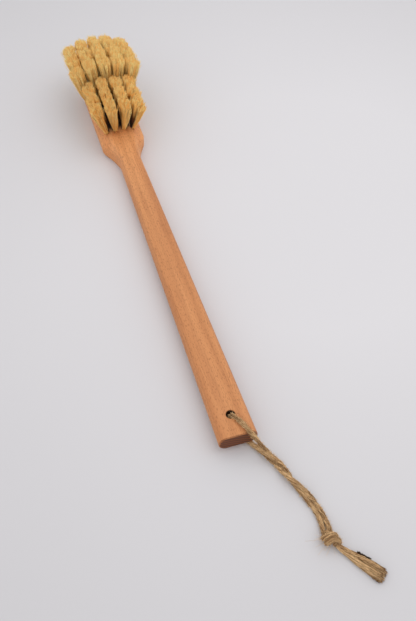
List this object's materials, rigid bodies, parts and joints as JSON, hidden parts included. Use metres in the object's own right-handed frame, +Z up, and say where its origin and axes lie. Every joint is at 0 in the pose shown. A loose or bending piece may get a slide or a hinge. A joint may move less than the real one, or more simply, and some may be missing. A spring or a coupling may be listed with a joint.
{
  "type": "scrub brush",
  "caption": "Long-handled wooden scrub brush with a hip-roofed head, splayed two-height plant-fibre tufts and a knotted jute hanging loop.",
  "frame": {"origin": "middle of the brush's box, without its cord, on the surface that it lies on", "axes": "+Y along the handle towards the head, +Z up out of the tuft side, +X across to the right"},
  "size_m": [0.092, 0.5465, 0.0585],
  "materials": {
    "beech": "oiled, satin",
    "plant_fibre": "dry cut fibre",
    "anchor_wire": "drawn",
    "jute": "plied, hairy"
  },
  "bodies": {
    "root": {"brush_body": "beech", "tuft_low_r1_c1": "plant_fibre", "tuft_low_r1_c2": "plant_fibre", "tuft_low_r1_c3": "plant_fibre", "tuft_low_r1_c4": "plant_fibre", "tuft_low_r2_c1": "plant_fibre", "tuft_low_r2_c2": "plant_fibre", "tuft_low_r2_c3": "plant_fibre", "tuft_low_r2_c4": "plant_fibre", "tuft_low_r3_c1": "plant_fibre", "tuft_low_r3_c2": "plant_fibre", "tuft_low_r3_c3": "plant_fibre", "tuft_low_r3_c4": "plant_fibre", "tuft_tall_r1_c1": "plant_fibre", "tuft_tall_r1_c2": "plant_fibre", "tuft_tall_r1_c3": "plant_fibre", "tuft_tall_r1_c4": "plant_fibre", "tuft_tall_r1_c5": "plant_fibre", "tuft_tall_r2_c1": "plant_fibre", "tuft_tall_r2_c2": "plant_fibre", "tuft_tall_r2_c3": "plant_fibre", "tuft_tall_r2_c4": "plant_fibre", "tuft_tall_r2_c5": "plant_fibre", "tuft_tall_r3_c1": "plant_fibre", "tuft_tall_r3_c2": "plant_fibre", "tuft_tall_r3_c3": "plant_fibre", "tuft_tall_r3_c4": "plant_fibre", "tuft_tall_r3_c5": "plant_fibre", "anchor_low_r1_c1": "anchor_wire", "anchor_low_r1_c2": "anchor_wire", "anchor_low_r1_c3": "anchor_wire", "anchor_low_r1_c4": "anchor_wire", "anchor_low_r2_c1": "anchor_wire", "anchor_low_r2_c2": "anchor_wire", "anchor_low_r2_c3": "anchor_wire", "anchor_low_r2_c4": "anchor_wire", "anchor_low_r3_c1": "anchor_wire", "anchor_low_r3_c2": "anchor_wire", "anchor_low_r3_c3": "anchor_wire", "anchor_low_r3_c4": "anchor_wire", "anchor_tall_r1_c1": "anchor_wire", "anchor_tall_r1_c2": "anchor_wire", "anchor_tall_r1_c3": "anchor_wire", "anchor_tall_r1_c4": "anchor_wire", "anchor_tall_r1_c5": "anchor_wire", "anchor_tall_r2_c1": "anchor_wire", "anchor_tall_r2_c2": "anchor_wire", "anchor_tall_r2_c3": "anchor_wire", "anchor_tall_r2_c4": "anchor_wire", "anchor_tall_r2_c5": "anchor_wire", "anchor_tall_r3_c1": "anchor_wire", "anchor_tall_r3_c2": "anchor_wire", "anchor_tall_r3_c3": "anchor_wire", "anchor_tall_r3_c4": "anchor_wire", "anchor_tall_r3_c5": "anchor_wire", "cord_upper_leg": "jute", "cord_lower_leg": "jute", "cord_left_tail": "jute", "cord_right_tail": "jute", "cord_knot": "jute"}
  },
  "joints": []
}
